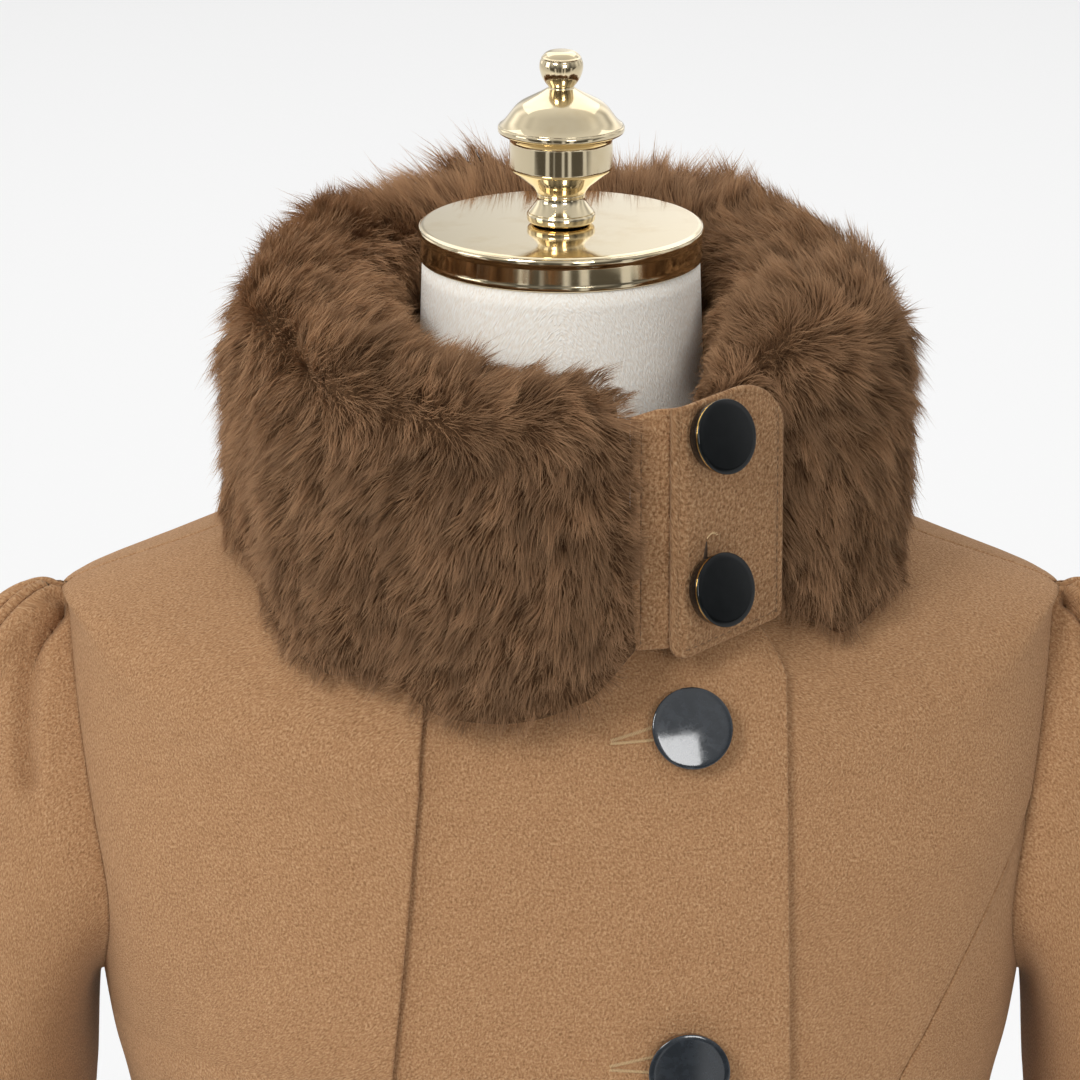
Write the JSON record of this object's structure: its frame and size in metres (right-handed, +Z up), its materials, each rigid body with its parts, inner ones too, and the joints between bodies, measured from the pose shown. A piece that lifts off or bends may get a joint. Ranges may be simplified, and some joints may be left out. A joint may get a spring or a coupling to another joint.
{
  "type": "long winter coat on a dress form",
  "caption": "Long flared wool coat with a fur stand collar, buttoned collar tab and puffed pleated sleeves, standing on a limbless dress form with a capped neck.",
  "frame": {"origin": "on the floor, under the middle of the stand's base", "axes": "+Z up along the stand, -Y out of the coat's front, +X to the wearer's left"},
  "size_m": [0.5936, 0.4987, 1.5075],
  "materials": {
    "camel_wool": "milled matte wool with a short nap",
    "brown_fur": "dense soft fur, darker at the roots",
    "black_gloss": "polished, with a gilt line round the rim",
    "linen": "plain woven cover",
    "brass": "polished"
  },
  "bodies": {
    "root": {"front_right_side": "camel_wool", "front_right_centre": "camel_wool", "front_left": "camel_wool", "side_front_left": "camel_wool", "back_left": "camel_wool", "back_right": "camel_wool", "sleeve_left": "camel_wool", "sleeve_right": "camel_wool", "collar_strip": "camel_wool", "collar_tab": "camel_wool", "fur_collar_right": "brown_fur", "fur_collar_left": "brown_fur", "collar_button_1": "black_gloss", "collar_button_2": "black_gloss", "front_button_1": "black_gloss", "front_button_2": "black_gloss", "front_button_3": "black_gloss", "front_button_4": "black_gloss", "front_button_5": "black_gloss", "form_torso": "linen", "neck_cap": "brass", "cap_finial": "brass", "stand_pole": "brass", "stand_base": "brass"}
  },
  "joints": []
}
